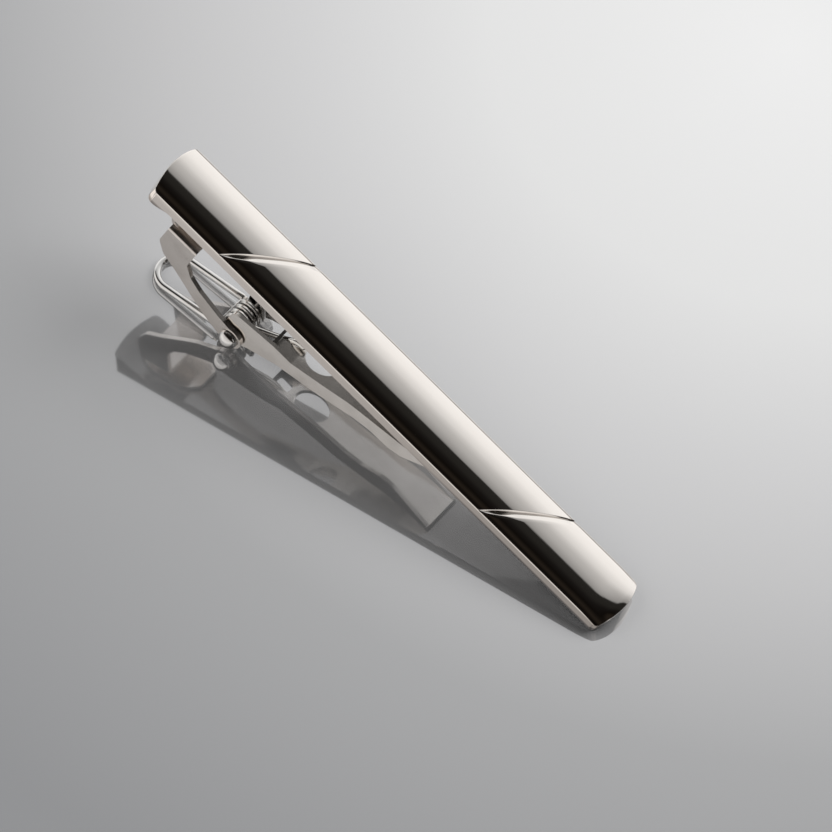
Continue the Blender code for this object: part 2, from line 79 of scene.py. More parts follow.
@dataclass(frozen=True)
class Sock:
    """One output socket, with arithmetic that adds Math nodes to its tree."""

    kit: "NodeKit"
    socket: Any

    def _math(self, operation: str, other: "Sock | float", turned: bool = False) -> "Sock":
        """Add one Math node.

        Args:
            operation: the Math node's operation.
            other: the second operand.
            turned: whether this socket is the second operand instead.

        Returns:
            The result's socket.
        """
        values = [other, self] if turned else [self, other]
        return self.kit.node("ShaderNodeMath", {"operation": operation}, dict(enumerate(values)))

    def __add__(self, other: "Sock | float") -> "Sock":
        """Sum."""
        return self._math("ADD", other)

    __radd__ = __add__

    def __sub__(self, other: "Sock | float") -> "Sock":
        """Difference."""
        return self._math("SUBTRACT", other)

    def __rsub__(self, other: float) -> "Sock":
        """Difference from a number."""
        return self._math("SUBTRACT", other, turned=True)

    def __mul__(self, other: "Sock | float") -> "Sock":
        """Product."""
        return self._math("MULTIPLY", other)

    __rmul__ = __mul__

    def __truediv__(self, other: "Sock | float") -> "Sock":
        """Quotient."""
        return self._math("DIVIDE", other)

    def atan2(self, other: "Sock | float") -> "Sock":
        """Angle whose tangent is this over the other, in radians."""
        return self._math("ARCTAN2", other)

    def root(self) -> "Sock":
        """Square root."""
        return self._math("SQRT", 0.0)

    def sine(self) -> "Sock":
        """Sine of this in radians."""
        return self._math("SINE", 0.0)

    def ramp(self, low: float, high: float) -> "Sock":
        """Smooth step from zero at low to one at high."""
        settings = {"interpolation_type": "SMOOTHSTEP"}
        values = {"Value": self, "From Min": low, "From Max": high}
        return self.kit.node("ShaderNodeMapRange", settings, values)


class NodeKit:
    """Adds nodes to one tree."""

    def __init__(self, tree: bpy.types.NodeTree) -> None:
        """Keep the tree."""
        self.tree = tree

    def node(self, kind: str, settings: dict[str, Any], values: dict[Any, Any], output: Any = 0) -> Sock:
        """Add a node, with its settings first and then its sockets.

        Args:
            kind: the node's type.
            settings: attributes to set, where "stops" fills a colour ramp.
            values: numbers, colours or sockets by input name or number.
            output: the output wanted, by name or number.

        Returns:
            That output's socket.
        """
        made = self.tree.nodes.new(kind)
        for name, setting in settings.items():
            if name == "stops":
                self._fill_ramp(made.color_ramp, setting)
            else:
                setattr(made, name, setting)
        for name, value in values.items():
            if isinstance(value, Sock):
                self.tree.links.new(value.socket, made.inputs[name])
            else:
                made.inputs[name].default_value = value
        return Sock(self, made.outputs[output])

    @staticmethod
    def _fill_ramp(ramp: bpy.types.ColorRamp, stops: list[tuple[float, Colour]]) -> None:
        """Give a colour ramp its stops."""
        while len(ramp.elements) < len(stops):
            ramp.elements.new(1.0)
        for element, (place, colour) in zip(ramp.elements, stops):
            element.position = place
            element.color = (*colour, 1.0)

    def mix(self, share: Sock | float, first: Colour | Sock, second: Colour | Sock) -> Sock:
        """Blend two colours.

        Args:
            share: zero for the first colour, one for the second.
            first: the first colour.
            second: the second colour.

        Returns:
            The blend's socket.
        """
        pair = [(*c, 1.0) if isinstance(c, tuple) else c for c in (first, second)]
        values = {0: share, 6: pair[0], 7: pair[1]}
        return self.node("ShaderNodeMix", {"data_type": "RGBA"}, values, 2)

    def dot(self, vector: Sock, way: tuple[float, float, float]) -> Sock:
        """How far a vector points a fixed way."""
        settings = {"operation": "DOT_PRODUCT"}
        return self.node("ShaderNodeVectorMath", settings, {0: vector, 1: way}, "Value")

    def surface_normal(self) -> Sock:
        """The surface's own normal."""
        return self.node("ShaderNodeNewGeometry", {}, {}, "Normal")

    def parts(self, vector: Sock) -> tuple[Sock, Sock, Sock]:
        """Split a vector into its three numbers."""
        first = self.node("ShaderNodeSeparateXYZ", {}, {0: vector})
        outputs = first.socket.node.outputs
        return first, Sock(self, outputs[1]), Sock(self, outputs[2])

    def noise(self, vector: Sock, scale: float, detail: float = 3.0) -> Sock:
        """Fractal noise from zero to one."""
        return self.node("ShaderNodeTexNoise", {}, {"Vector": vector, "Scale": scale, "Detail": detail})


# ---------------------------------------------------------------- the bar's own frame


@dataclass(frozen=True)
class BarFrame:
    """The frame that the clip is drawn in: x along the bar, y across, z up from the dome's shoulder, in mm."""

    pivot_x: float = 14.16
    pivot_z: float = -10.8
    loop_tip: tuple[float, float] = (4.735, -15.0385)
    loop_wire: float = 0.375
    bar_corner: tuple[float, float] = (57.4, -1.42)

    @property
    def tilt(self) -> float:
        """Slope of the line under both the loop's tip and the bar's right lower edge, in radians."""
        run = self.bar_corner[0] - self.loop_tip[0]
        rise = self.bar_corner[1] - self.loop_tip[1]
        return math.atan2(rise, run) + math.asin(self.loop_wire / math.hypot(run, rise))

    @property
    def turn(self) -> np.ndarray:
        """The rotation about y from this frame to the world."""
        c = math.cos(self.tilt)
        s = math.sin(self.tilt)
        return np.array([[c, 0.0, s], [0.0, 1.0, 0.0], [-s, 0.0, c]])

    @property
    def origin(self) -> np.ndarray:
        """This frame's origin in world metres, from the place of the pivot pin."""
        low, high = (np.array(corner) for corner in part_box("pivot_pin"))
        return (low + high) / 2 - self.turn @ (np.array([self.pivot_x, 0.0, self.pivot_z]) * MM)

    def world(self, points: np.ndarray) -> np.ndarray:
        """Carry points in this frame's millimetres to world metres.

        Args:
            points: an array whose last axis is x, y, z.

        Returns:
            An array of the same shape.
        """
        return points * MM @ self.turn.T + self.origin

    def coordinates(self, kit: NodeKit) -> Sock:
        """Object coordinates turned into this frame, still in metres."""
        place = kit.node("ShaderNodeTexCoord", {}, {}, "Object")
        settings = {"vector_type": "TEXTURE"}
        values = {"Vector": place, "Location": tuple(self.origin), "Rotation": (0.0, self.tilt, 0.0)}
        return kit.node("ShaderNodeMapping", settings, values)


# ---------------------------------------------------------------- finishes


@dataclass(frozen=True)
class MetalFinish:
    """A plated or bare metal with faint wear.

    The roughness rises in soft smudges; hairlines or press marks go into the bump.
    """

    name: str
    colour: Colour
    shade: Colour
    roughness: float
    smudge: float
    stroke: Stroke
    bump: float
    lean: float = 0.0
    up: tuple[float, float, float] = (0.257, 0.0, 0.966)
    near_side: tuple[float, float, float] = (0.0, -1.0, 0.0)
    slant_lean: float = 1.6
    patch_scale: float = 420.0
    patch_share: float = 0.5
    stroke_scale: float = 5200.0
    stroke_depth: float = 0.00002

    def build(self, home: BarFrame) -> bpy.types.Material:
        """Make the material.

        Args:
            home: the frame that the marks run along.

        Returns:
            The new material.
        """
        material = bpy.data.materials.new(self.name)
        material.use_nodes = True
        kit = NodeKit(material.node_tree)
        shader = material.node_tree.nodes["Principled BSDF"]
        shader.inputs["Metallic"].default_value = 1.0
        place = home.coordinates(kit)
        patches = kit.noise(place, self.patch_scale).ramp(0.35, 0.75)
        colour = self._tone(kit, place, patches)
        rough = self.roughness + self.smudge * patches
        links = material.node_tree.links
        links.new(colour.socket, shader.inputs["Base Color"])
        links.new(rough.socket, shader.inputs["Roughness"])
        links.new(self._marks(kit, place).socket, shader.inputs["Normal"])
        return material

    def _tone(self, kit: NodeKit, place: Sock, patches: Sock) -> Sock:
        """Colour: the plate's tone, a little darker in the patches."""
        return kit.mix(patches * self.patch_share, self.colour, self.shade)

    def _leaning(self, kit: NodeKit) -> Sock:
        """The surface normal, leaning upwards on faces that look to the near side, as if slightly cupped.

        Faces that look there at a slant, such as a groove's steep wall, lean further.
        """
        normal = kit.surface_normal()
        facing = kit.dot(normal, self.near_side)
        slanted = facing.ramp(0.46, 0.58) * self.slant_lean
        share = slanted - facing.ramp(0.86, 0.98) * (self.slant_lean - 1.0)
        raised = {0: self.up, "Scale": share * self.lean}
        lift = kit.node("ShaderNodeVectorMath", {"operation": "SCALE"}, raised)
        both = kit.node("ShaderNodeVectorMath", {"operation": "ADD"}, {0: normal, 1: lift})
        return kit.node("ShaderNodeVectorMath", {"operation": "NORMALIZE"}, {0: both})

    def _marks(self, kit: NodeKit, place: Sock) -> Sock:
        """Bump: noise stretched along the bar for hairlines, or across it for press marks."""
        stretch = {
            Stroke.MIRROR: (0.05, 1.0, 1.0),
            Stroke.PRESSED: (1.0, 0.15, 0.5),
            Stroke.DRAWN: (1.0, 1.0, 1.0),
        }[self.stroke]
        scaled = kit.node("ShaderNodeVectorMath", {"operation": "MULTIPLY"}, {0: place, 1: stretch})
        height = kit.noise(scaled, self.stroke_scale, 2.0)
        values = {"Strength": self.bump, "Distance": self.stroke_depth, "Height": height}
        if self.lean:
            values["Normal"] = self._leaning(kit)
        return kit.node("ShaderNodeBump", {}, values)


@dataclass(frozen=True)
class BarFinish(MetalFinish):
    """The bar's plate: bright on the dome, pinkish on its side walls, with painted shade on the walls and
    underneath.
    """

    wall: Colour = (0.92, 0.85, 0.79)
    # Painted shade on the wall: darker towards the right end, with a painted shadow along its foot.
    wall_right_shade: Colour = (0.44, 0.40, 0.365)
    wall_foot_shadow: Colour = (0.16, 0.15, 0.145)
    # Painted shade for the lower part of the drooping left end.
    droop: Colour = (0.40, 0.365, 0.335)
    # Painted reflection: the dark tone of the fine line along the far shoulder.
    edge_reflection: Colour = (0.14, 0.12, 0.10)
    # Painted shade for the faces that look down, which lie in shadow under the bar.
    back: Colour = (0.22, 0.215, 0.21)
    down: tuple[float, float, float] = (-0.26, 0.0, -0.966)
    length: float = 0.057

    def _tone(self, kit: NodeKit, place: Sock, patches: Sock) -> Sock:
        """Colour: the plate's tone, the wall's tone under the shoulder, and a painted dark reflection as a fine
        line along the far edge.

        Painted shade darkens the wall from left to right, along its foot on the right half, and where the left end
        droops, and it darkens the faces that look down.
        """
        x, y, height = kit.parts(place)
        plain = kit.mix(patches * self.patch_share, self.colour, self.shade)
        # Painted shade: the wall's tone darkens from left to right.
        wall = kit.mix((x / self.length).ramp(0.0, 1.0), self.wall, self.wall_right_shade)
        # Painted shadow along the wall's foot on the right half.
        foot = (1.0 - height.ramp(-0.00120, -0.00085)) * x.ramp(0.030, 0.046)
        wall = kit.mix(foot, wall, self.wall_foot_shadow)
        # Painted shade where the left end droops towards the table.
        wall = kit.mix(1.0 - height.ramp(-0.0019, -0.0013), wall, self.droop)
        upright = kit.mix(1.0 - height.ramp(-0.00022, 0.00002), plain, wall)
        # Painted reflection: a thin dark line along the far shoulder, standing in for something dark that the rim
        # mirrors.
        reflection_band = y.ramp(0.00284, 0.00292) * (1.0 - y.ramp(0.00300, 0.00306))
        upright = kit.mix(reflection_band * height.ramp(-0.0001, 0.0) * 0.8, upright, self.edge_reflection)
        # Painted shade: faces that look down take the dark underside tone.
        faces_down = kit.dot(kit.surface_normal(), self.down).ramp(0.6, 0.9)
        return kit.mix(faces_down, upright, self.back)


@dataclass(frozen=True)
class JawFinish(MetalFinish):
    """Pressed sheet with fine creases across the flanges towards the jaw's nose."""

    crease_from: float = 23.6
    crease_to: float = 30.4
    crease_fade: float = 0.6
    crease_pitch: float = 0.42
    press_scale: float = 3000.0
    press_depth: float = 0.00003
    # Painted shade for the web between the flanges, under the bar.
    trough_shade: Colour = (0.07, 0.065, 0.06)

    def _tone(self, kit: NodeKit, place: Sock, patches: Sock) -> Sock:
        """Colour: bright plate, with painted shade between the flanges from the pivot to about 18 mm along the bar,
        where the web lies under the bar.
        """
        plain = kit.mix(patches * self.patch_share, self.colour, self.shade)
        x, y, _ = kit.parts(place)
        between = y.ramp(-0.00186, -0.00178) * (1.0 - y.ramp(0.00178, 0.00186))
        # Painted shade between the flanges, from the pivot to about 18 mm along the bar.
        shaded_trough = between * (1.0 - x.ramp(0.0176, 0.0182))
        return kit.mix(shaded_trough * 0.9, plain, self.trough_shade)

    def _marks(self, kit: NodeKit, place: Sock) -> Sock:
        """Bump: press marks, and even slanted creases where the sheet is drawn in."""
        x, _, z = kit.parts(place)
        window = x.ramp((self.crease_from - self.crease_fade) * MM, self.crease_from * MM)
        window = window * (1.0 - x.ramp(self.crease_to * MM, (self.crease_to + self.crease_fade) * MM))
        phase = (x + z * 0.6) / (self.crease_pitch * MM)
        height = kit.noise(place, self.press_scale, 2.0) * 0.25 + phase.sine() * window * 0.5
        values = {"Strength": self.bump, "Distance": self.press_depth, "Height": height}
        values["Normal"] = self._leaning(kit)
        return kit.node("ShaderNodeBump", {}, values)


@dataclass(frozen=True)
class SpringFinish(MetalFinish):
    """Spring wire, with painted shade on the turns' inner sides and flanks, in the gaps between them, and plain
    wire on their crests.
    """

    axis_x: float = 13.86
    axis_z: float = -10.8
    gap: float = 1.22
    crest: float = 1.36
    # Painted shade for the gaps between the turns.
    gap_shade: Colour = (0.03, 0.028, 0.025)

    def _tone(self, kit: NodeKit, place: Sock, patches: Sock) -> Sock:
        """Colour: painted shade up to a radius from the coil's axis, and plain wire outside it."""
        plain = kit.mix(patches * self.patch_share, self.colour, self.shade)
        x, _, z = kit.parts(place)
        aside = x - self.axis_x * MM
        above = z - self.axis_z * MM
        away = (aside * aside + above * above).root()
        # Painted shade near the coil's axis, plain wire on the crests.
        return kit.mix(away.ramp(self.gap * MM, self.crest * MM), self.gap_shade, plain)


BAR_PLATE = BarFinish(
    "bar_plate", (0.955, 0.905, 0.855), (0.93, 0.875, 0.825), 0.045, 0.03, Stroke.MIRROR, 0.05, 0.4, patch_share=0.4
)
BRACKET_NICKEL = MetalFinish(
    "bracket_nickel_plate", (0.76, 0.715, 0.675), (0.58, 0.54, 0.50), 0.16, 0.12, Stroke.PRESSED, 0.3, 0.22
)
JAW_NICKEL = JawFinish(
    "jaw_nickel_plate", (0.78, 0.745, 0.705), (0.62, 0.585, 0.545), 0.12, 0.10, Stroke.PRESSED, 0.4, 0.3
)
WIRE_NICKEL = MetalFinish(
    "wire_nickel_plate", (0.84, 0.83, 0.81), (0.72, 0.70, 0.68), 0.08, 0.08, Stroke.DRAWN, 0.12
)
SPRING_STEEL = SpringFinish(
    "spring_wire_steel", (0.78, 0.76, 0.73), (0.60, 0.58, 0.55), 0.12, 0.08, Stroke.DRAWN, 0.2
)


# ---------------------------------------------------------------- surfaces


def mesh_piece(name: str, points: np.ndarray, faces: list[tuple[int, ...]], sharp: float) -> bpy.types.Object:
    """Make an object at the origin from world points.

    Args:
        name: the piece's name.
        points: an n by 3 array in metres.
        faces: corner numbers of each face.
        sharp: the angle in degrees past which an edge stays sharp.

    Returns:
        The new object, with its faces pointing outwards.
    """
    mesh = bpy.data.meshes.new(name)
    mesh.from_pydata(points.reshape(-1, 3).tolist(), [], faces)
    tool = bmesh.new()
    tool.from_mesh(mesh)
    bmesh.ops.remove_doubles(tool, verts=tool.verts, dist=1e-8)
    bmesh.ops.recalc_face_normals(tool, faces=tool.faces)
    tool.to_mesh(mesh)
    tool.free()
    mesh.shade_smooth()
    mesh.set_sharp_from_angle(angle=math.radians(sharp))
    piece = bpy.data.objects.new(name, mesh)
    bpy.context.scene.collection.objects.link(piece)
    return piece


def grid_faces(rows: int, columns: int, closed: bool) -> list[tuple[int, ...]]:
    """Faces of a grid whose points are numbered row by row.

    Args:
        rows: number of rows.
        columns: number of points in each row.
        closed: whether each row is a ring.

    Returns:
        Four corner numbers for each face.
    """
    numbers = np.arange(rows * columns).reshape(rows, columns)
    ahead = np.roll(numbers, -1, axis=1) if closed else numbers[:, 1:]
    here = numbers if closed else numbers[:, :-1]
    corners = np.stack([here[:-1], ahead[:-1], ahead[1:], here[1:]], axis=-1)
    return [tuple(face) for face in corners.reshape(-1, 4).tolist()]


def smooth_path(corners: np.ndarray, steps: int) -> np.ndarray:
    """A rounded path: each corner is replaced by the curve halfway between its neighbours' midpoints.

    Args:
        corners: an n by 3 array.
        steps: points on each rounded corner.

    Returns:
        The path's points.
    """
    share = np.linspace(0.0, 1.0, steps)[None, :, None]
    before = (corners[:-2] + corners[1:-1])[:, None, :] / 2
    middle = corners[1:-1][:, None, :]
    after = (corners[1:-1] + corners[2:])[:, None, :] / 2
    curve = before * (1 - share) ** 2 + middle * 2 * share * (1 - share) + after * share**2
    return np.concatenate([corners[:1], curve.reshape(-1, 3), corners[-1:]])


def round_wire(path: np.ndarray, radius: float, sides: int, domed: int = 4) -> tuple[np.ndarray, list]:
    """A round wire: a circle carried along a path, with domed ends.

    The circle's plane stands square to the path, and its first spoke keeps as near as it can to the last one's
    way, so that the wire doesn't twist.

    Args:
        path: an n by 3 array.
        radius: the wire's radius.
        sides: corners of the circle.
        domed: rings on each domed end.

    Returns:
        Points and faces.
    """
    keep = np.concatenate([[True], np.linalg.norm(np.diff(path, axis=0), axis=1) > 1e-6])
    path = path[keep]
    along = np.gradient(path, axis=0)
    along /= np.linalg.norm(along, axis=1)[:, None]
    spoke = np.zeros_like(path)
    spoke[0] = np.array(Vector(along[0]).orthogonal())
    for index in range(len(path)):
        last = spoke[max(index - 1, 0)]
        level = last - along[index] * last.dot(along[index])
        spoke[index] = level / np.linalg.norm(level)
    other = np.cross(along, spoke)
    bend = np.linspace(math.pi / 2, 0.06, domed, endpoint=False)[::-1]
    head = path[:1] - along[:1] * radius * np.sin(bend[::-1])[:, None] * 0.6
    tail = path[-1:] + along[-1:] * radius * np.sin(bend)[:, None] * 0.6
    centres = np.concatenate([head, path, tail])
    reach = np.concatenate([np.cos(bend[::-1]), np.ones(len(path)), np.cos(bend)]) * radius
    reach = np.maximum(reach, radius * 0.02)
    spokes = np.concatenate([np.repeat(spoke[:1], domed, 0), spoke, np.repeat(spoke[-1:], domed, 0)])
    others = np.concatenate([np.repeat(other[:1], domed, 0), other, np.repeat(other[-1:], domed, 0)])
    angle = np.linspace(0.0, 2 * math.pi, sides, endpoint=False)
    rings = spokes[:, None] * np.cos(angle)[:, None] + others[:, None] * np.sin(angle)[:, None]
    points = centres[:, None] + rings * reach[:, None, None]
    faces = grid_faces(len(centres), sides, closed=True)
    count = len(centres) * sides
    faces.append(tuple(range(sides - 1, -1, -1)))
    faces.append(tuple(range(count - sides, count)))
    return points, faces


def finish_piece(
    piece: bpy.types.Object, material: bpy.types.Material, body: Body, nodes: tuple[str, ...]
) -> None:
    """Dress a piece, let it ride on its body and report it.

    Args:
        piece: the finished piece.
        material: its material.
        body: the body that it moves with.
        nodes: the CAD nodes that it stands for.
    """
    piece.data.materials.clear()
    piece.data.materials.append(material)
    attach(piece, body.value)
    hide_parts(*nodes)
    LOG.info("%s: %d faces", piece.name, len(piece.data.polygons))


# ---------------------------------------------------------------- the bar


@dataclass
class DomedBar:
    """The bar: a low dome on upright side walls, bulged ends, and two slanted V grooves."""

    home: BarFrame
    length: float = 56.8
    width: float = 6.3
    bulge: float = 0.6
    corner: float = 0.35
    wall: float = 1.42
    droop: float = 0.7
    droop_x: tuple[float, float] = (0.6, 2.6)
    relief: float = 0.1
    relief_x: tuple[float, float] = (3.0, 39.5)
    relief_blend: tuple[float, float] = (1.2, 2.1)
    crown: float = 0.9
    power: float = 2.3
    rim: float = 0.1
    groove_x: tuple[float, float] = (8.3, 41.6)
    groove_run: float = 7.1
    groove_walls: tuple[float, float] = (0.10, 1.0)
    groove_depth: float = 0.36
    end_drop: float = 0.25
    end_drop_run: float = 2.6
    top_rows: int = 61

    def dome(self, y: np.ndarray) -> np.ndarray:
        """Height over the shoulder: the crown times one less a power of the share of the half width."""
        share = np.abs(2 * y / self.width)
        height = self.crown * (1 - share**self.power)
        past = np.maximum(np.abs(y) - (self.width / 2 - self.rim), 0.0)
        return height - (self.rim - np.sqrt(np.maximum(self.rim**2 - past**2, 0.0)))

    def end_inset(self, y: np.ndarray) -> np.ndarray:
        """How far the end stands back at y: a parabola for the bulge and a quarter round at each corner."""
        half = self.width / 2
        past = np.clip(np.abs(y) - (half - self.corner), 0.0, self.corner)
        return self.bulge * (y / half) ** 2 + self.corner - np.sqrt(self.corner**2 - past**2)

    def groove_centre(self, index: int, y: np.ndarray) -> np.ndarray:
        """Where a groove's bottom lies along x at each y."""
        return self.groove_x[index] + self.groove_run * (y / self.width + 0.5)

    def groove_taper(self, y: np.ndarray) -> np.ndarray:
        """The grooves' share of their full width: they narrow towards the near shoulder."""
        return 0.35 + 0.65 * np.minimum(1.0, (y + self.width / 2) / (0.3 * self.width))

    def groove_fade(self, y: np.ndarray) -> np.ndarray:
        """The grooves' share of their full depth: shallow at the near tip and on the far half."""
        share = (y + self.width / 2) / self.width
        return np.minimum(1.0, share / 0.15) * (1.0 - 0.75 * np.maximum(0.0, share - 0.15))

    def underside(self, x: np.ndarray) -> np.ndarray:
        """Height of the underside: a smooth step down at the left end, and a shallow relief over the clip.

        The relief rises and falls as a smooth step over several of the grid's slanted columns.
        """
        share = np.clip((self.droop_x[1] - x) / (self.droop_x[1] - self.droop_x[0]), 0.0, 1.0)
        drooped = -self.wall - self.droop * share**2 * (3 - 2 * share)
        rise = np.clip((x - self.relief_x[0]) / self.relief_blend[0], 0.0, 1.0)
        fall = np.clip((self.relief_x[1] - x) / self.relief_blend[1], 0.0, 1.0)
        return drooped + self.relief * rise**2 * (3 - 2 * rise) * fall**2 * (3 - 2 * fall)

    def columns(self, y: np.ndarray) -> tuple[np.ndarray, np.ndarray]:
        """The grid's x for each column and row, and how deep in a groove each point is.

        Between grooves the columns are spread evenly; across one they follow a V with slightly rounded lips.

        Args:
            y: the rows' places across the bar.

        Returns:
            Two arrays, columns by rows: x, and depth as a share of the full depth.
        """
        left_wall, right_wall = self.groove_walls
        across = np.concatenate(
            [np.linspace(-left_wall - 0.05, -0.02, 9), [0.0], np.linspace(0.02, right_wall + 0.05, 11)]
        )
        lips = np.where(across < 0, 1 + across / left_wall, 1 - across / right_wall)
        deep = 0.5 * (lips + np.sqrt(lips**2 + 0.003))
        taper = self.groove_taper(y)
        inset = self.end_inset(y)
        left = -self.bulge + inset
        right = self.length + self.bulge - inset
        first = self.groove_centre(0, y)[None, :] + across[:, None] * taper
        second = self.groove_centre(1, y)[None, :] + across[:, None] * taper
        spans = [
            left + (first[0] - left) * np.linspace(0, 1, 40, endpoint=False)[:, None],
            first,
            first[-1] + (second[0] - first[-1]) * np.linspace(0, 1, 72)[1:-1, None],
            second,
            second[-1] + (right - second[-1]) * np.linspace(0, 1, 31)[1:, None],
        ]
        depth = [np.zeros(40), deep, np.zeros(70), deep, np.zeros(30)]
        shares = np.concatenate(depth)[:, None] * np.ones_like(y)
        return np.concatenate(spans), shares

    def build(self) -> bpy.types.Object:
        """Make the bar as one grid carried from end to end, closed by its two end faces.

        Returns:
            The new piece.
        """
        half = self.width / 2
        y_top = -half * np.cos(np.linspace(0.0, math.pi, self.top_rows))
        x_top, deep = self.columns(y_top)
        z_top = self.dome(y_top) - self.groove_depth * deep * self.groove_fade(y_top)
        fall = np.clip((x_top - self.length) / self.end_drop_run + 1.0, 0.0, None)
        z_top = z_top - self.end_drop * fall**2
        count = len(x_top)
        wall_z = np.array([-0.42 * self.wall, -0.93 * self.wall])
        far = np.stack([np.repeat(x_top[:, -1:], 2, 1), np.full((count, 2), half), np.tile(wall_z, (count, 1))], -1)
        near = np.stack(
            [np.repeat(x_top[:, :1], 2, 1), np.full((count, 2), -half), np.tile(wall_z[::-1], (count, 1))], -1
        )
        top = np.stack([x_top, np.tile(y_top, (count, 1)), z_top], -1)
        low_y = y_top[::-1] * (1 - 0.06 / half)
        low_x = x_top[:, ::-1]
        low = np.stack([low_x, np.tile(low_y, (count, 1)), self.underside(low_x)], -1)
        rings = np.concatenate([top, far, low, near], axis=1)
        rings = self._round_ends(rings)
        faces = grid_faces(len(rings), rings.shape[1], closed=True)
        faces += self._end_faces(0, rings.shape[1]) + self._end_faces(len(rings) - 1, rings.shape[1])
        return mesh_piece("bar_polished", self.home.world(rings), faces, 26.0)

    def _round_ends(self, rings: np.ndarray) -> np.ndarray:
        """Round each end's rim with three more rings, a quarter circle inwards."""
        angle = np.radians([30.0, 60.0, 90.0])
        middle = np.array([0.0, 0.0, -0.35])
        sizes = np.array([1.0, self.width / 2, 0.85])
        ends = []
        for ring, way in ((rings[0], -1.0), (rings[-1], 1.0)):
            shrunk = []
            for turn in angle:
                inwards = self.rim * (1 - math.cos(turn))
                moved = middle + (ring - middle) * (1 - inwards / sizes)
                moved[:, 0] = ring[:, 0] + way * self.rim * (math.sin(turn) - 1.0)
                shrunk.append(moved)
            base = ring.copy()
            base[:, 0] -= way * self.rim
            ends.append((base, shrunk))
        first = np.stack([*ends[0][1][::-1], ends[0][0]])
        last = np.stack([ends[1][0], *ends[1][1]])
        return np.concatenate([first, rings[1:-1], last])

    def _end_faces(self, ring: int, count: int) -> list[tuple[int, ...]]:
        """Upright strips that close one end, each between a point of the top and the one under it."""
        start = ring * count
        rows = self.top_rows
        faces = []
        for index in range(rows - 1):
            below = [rows + 2 + (rows - 1 - index), rows + 2 + (rows - 2 - index)]
            face = [index, index + 1]
            if index == rows - 2:
                face += [rows, rows + 1]
            face += [below[1], below[0]]
            if index == 0:
                face += [2 * rows + 2, 2 * rows + 3]
            faces.append(tuple(start + corner for corner in face))
        return faces


# ---------------------------------------------------------------- pin, loop and spring


@dataclass
class PivotPin:
    """The pin: a shaft along y with a domed head outside each arm."""

    home: BarFrame
    shaft: float = 0.5
    head: float = 1.0
    base: float = 2.9
    sides: int = 72

    def build(self) -> bpy.types.Object:
        """Turn the profile about the pivot's axis: quarter circles for the heads and a straight shaft.

        Returns:
            The new piece.
        """
        turn = np.linspace(0.02, math.pi / 2, 14)
        radius = np.concatenate([self.head * np.sin(turn), [self.head * 0.97, self.shaft]])
        y = np.concatenate([-self.base - 0.03 - (self.head - 0.03) * np.cos(turn), [-self.base, -self.base]])
        radius = np.concatenate([radius, radius[::-1]])
        y = np.concatenate([y, -y[::-1]])
        angle = np.linspace(0.0, 2 * math.pi, self.sides, endpoint=False)
        x = self.home.pivot_x + radius[:, None] * np.cos(angle)
        z = self.home.pivot_z + radius[:, None] * np.sin(angle)
        points = np.stack([x, np.repeat(y[:, None], self.sides, 1), z], -1)
        faces = grid_faces(len(radius), self.sides, closed=True)
        count = len(radius) * self.sides
        faces.append(tuple(range(self.sides - 1, -1, -1)))
        faces.append(tuple(range(count - self.sides, count)))
        return mesh_piece("pivot_pin_domed", self.home.world(points), faces, 40.0)


@dataclass
class HandleLoop:
    """The handle: a wire bent to a U in a plane that slopes up to the jaw."""

    home: BarFrame
    wire: float = 0.375
    half_width: float = 1.92
    slope: float = math.radians(19.9)
    tip_x: float = 4.735
    line: tuple[float, float] = (12.3, -12.3)
    leg_end: float = 12.4
    leg_points: int = 8
    plate_x: float = 12.6
    plate_half: float = 0.25
    plate_lift: float = 0.2
    plate_sides: int = 24

    def place(self, x: np.ndarray, y: np.ndarray, lift: float | np.ndarray = 0.0) -> np.ndarray:
        """Points of the loop's plane, which slopes up to the right, lifted square to it."""
        z = self.line[1] + (x - self.line[0]) * math.tan(self.slope)
        return np.stack([x - lift * math.sin(self.slope), y, z + lift * math.cos(self.slope)], -1)

    def build(self) -> bpy.types.Object:
        """Carry the wire along a leg, round half a circle and back.

        Returns:
            The new piece.
        """
        run = self.half_width * math.cos(self.slope)
        angle = np.linspace(0.0, math.pi, 49)
        x = self.tip_x + run - run * np.sin(angle)
        y = -self.half_width * np.cos(angle)
        leg = np.linspace(self.leg_end, self.tip_x + run, self.leg_points, endpoint=False)
        beside = np.full(self.leg_points, self.half_width)
        x = np.concatenate([leg, x, leg[::-1]])
        y = np.concatenate([-beside, y, beside])
        points, faces = round_wire(self.place(x, y), self.wire, 28)
        return mesh_piece("loop_wire", self.home.world(points), faces, 50.0)

    def build_plate(self) -> bpy.types.Object:
        """A flat strip across the legs: a rounded rectangle carried across the clip, closed at its ends.

        Returns:
            The new piece.
        """
        sides = self.plate_sides
        turn = np.linspace(0.0, 2 * math.pi, sides, endpoint=False)
        aside = self.plate_half * np.sign(np.cos(turn)) * np.abs(np.cos(turn)) ** 0.25
        lift = self.plate_lift * np.sign(np.sin(turn)) * np.abs(np.sin(turn)) ** 0.4
        across = np.array([-2.16, -2.12, 2.12, 2.16])
        shrink = np.array([0.94, 1.0, 1.0, 0.94])[:, None]
        points = self.place(self.plate_x + aside * shrink, np.repeat(across[:, None], sides, 1), lift * shrink)
        faces = grid_faces(len(across), sides, closed=True)
        last = (len(across) - 1) * sides
        faces += [tuple(range(sides - 1, -1, -1)), tuple(range(last, last + sides))]
        return mesh_piece("loop_plate", self.home.world(points), faces, 40.0)


